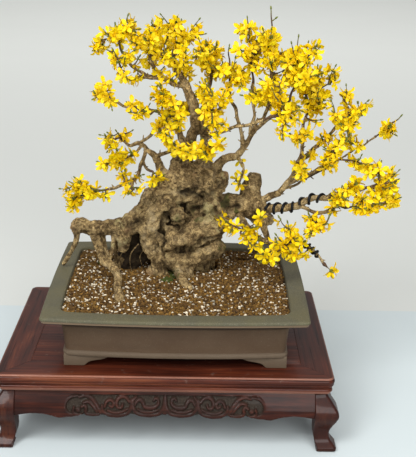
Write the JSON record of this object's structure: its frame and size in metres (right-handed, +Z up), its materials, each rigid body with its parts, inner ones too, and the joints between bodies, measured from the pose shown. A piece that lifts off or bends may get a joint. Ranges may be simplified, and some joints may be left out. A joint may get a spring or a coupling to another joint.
{
  "type": "flowering bonsai tree",
  "caption": "Flowering forsythia bonsai with a gnarled trunk and exposed roots in a shallow rectangular clay pot on a low carved wooden stand.",
  "frame": {"origin": "on the floor under the middle of the whole object's bounding box", "axes": "+Z up, +X to the right along the stand's long side, +Y away from the viewer"},
  "size_m": [0.791, 0.446, 0.8069],
  "materials": {
    "rosewood": "gloss",
    "clay": "matte",
    "mesh": "matte",
    "soil": "matte",
    "bark": "matte",
    "wire": "satin",
    "blossom": "matte"
  },
  "bodies": {
    "root": {"stand_rail_front": "rosewood", "stand_rail_back": "rosewood", "stand_rail_left": "rosewood", "stand_rail_right": "rosewood", "stand_panel": "rosewood", "stand_batten_left": "rosewood", "stand_batten_right": "rosewood", "stand_apron_front": "rosewood", "stand_apron_back": "rosewood", "stand_apron_left": "rosewood", "stand_apron_right": "rosewood", "stand_leg_front_left": "rosewood", "stand_leg_front_right": "rosewood", "stand_leg_back_left": "rosewood", "stand_leg_back_right": "rosewood", "pot": "clay", "drain_screen_left": "mesh", "drain_screen_right": "mesh", "soil": "soil", "tree_wood": "bark", "wire_inner": "wire", "wire_outer": "wire", "wire_low": "wire", "spray_left_leader": "blossom", "spray_left_shelf_inner": "blossom", "spray_left_shelf_outer": "blossom", "spray_left_shelf_end": "blossom", "spray_middle_leader": "blossom", "spray_left_crown_back": "blossom", "spray_left_front": "blossom", "spray_left_far": "blossom", "spray_left_mid": "blossom", "spray_left_arm_up": "blossom", "spray_left_arm_end": "blossom", "spray_left_arm_low": "blossom", "spray_left_inner": "blossom", "spray_left_drop_end": "blossom", "spray_left_drop_tuft": "blossom", "spray_front_left": "blossom", "spray_front_right": "blossom", "spray_centre": "blossom", "spray_crossing": "blossom", "spray_middle_up": "blossom", "spray_right_crown_left": "blossom", "spray_right_crown_right": "blossom", "spray_right_crown_top": "blossom", "spray_right_up": "blossom", "spray_right_outer": "blossom", "spray_right_inner": "blossom", "spray_right_low": "blossom", "spray_whip": "blossom", "spray_wired_side": "blossom", "spray_wired_end": "blossom", "spray_lower_wired_end": "blossom", "spray_lower_wired_side": "blossom", "spray_low_left": "blossom", "spray_low_right": "blossom", "spray_low_tip": "blossom", "spray_back_right": "blossom", "spray_back_left": "blossom"}
  },
  "joints": []
}
